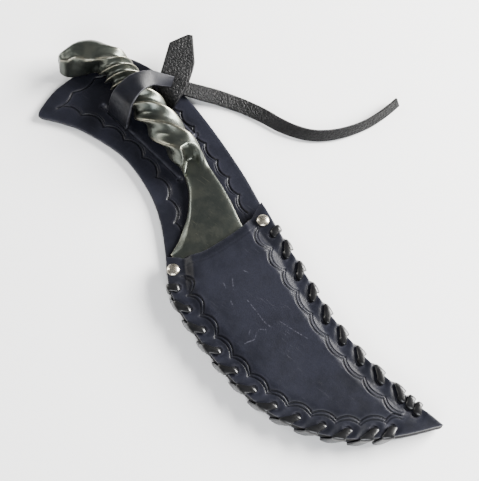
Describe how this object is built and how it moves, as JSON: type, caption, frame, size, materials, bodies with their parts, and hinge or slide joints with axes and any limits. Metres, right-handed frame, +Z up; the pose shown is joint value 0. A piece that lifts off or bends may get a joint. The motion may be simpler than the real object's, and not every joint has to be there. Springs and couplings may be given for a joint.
{
  "type": "sheathed knife",
  "caption": "forged one-piece knife with a twisted handle and hooked head, in a curved black leather sheath with laced edges and a strap keeper",
  "frame": {"origin": "centre of the bounding box at the surface it lies on, without the keeper's free tail", "axes": "+X along the sheath from the handle end to the tip, +Y towards the sheath's upper side, +Z up through the leather"},
  "size_m": [0.3126, 0.2028, 0.0315],
  "materials": {
    "black_leather": "smooth grain side, semi-gloss, tooled borders",
    "keeper_leather": "smooth grain side, satin",
    "rough_leather": "flesh side, pebbled, matt",
    "waxed_lace": "waxed, glossy",
    "nickel": "nickel plated, lightly worn",
    "forged_steel": "dark forge patina, burnished on the ridges and edges"
  },
  "bodies": {
    "sheath": {"back_panel": "black_leather", "front_panel": "black_leather", "welt": "rough_leather", "edge_lace_upper": "waxed_lace", "edge_lace_lower": "waxed_lace", "rivet_post_lower": "nickel", "rivet_post_upper": "nickel", "rivet_cap_lower": "nickel", "rivet_cap_upper": "nickel", "keeper_anchor": "keeper_leather"},
    "knife": {"knife": "forged_steel"},
    "keeper": {"keeper_strap": "keeper_leather", "keeper_tag": "rough_leather", "keeper_tail": "rough_leather"}
  },
  "joints": [
    {"name": "knife_draw", "type": "slide", "parent": "sheath", "child": "knife", "axis": [-0.9611, 0.2758, 0.012], "range_m": [0, 0.04]},
    {"name": "keeper_open", "type": "hinge", "parent": "sheath", "child": "keeper", "pos_m": [-0.1047, 0.01073, 0.0104], "axis": [0.9933, -0.1155, 0], "range_deg": [0, 90]}
  ]
}
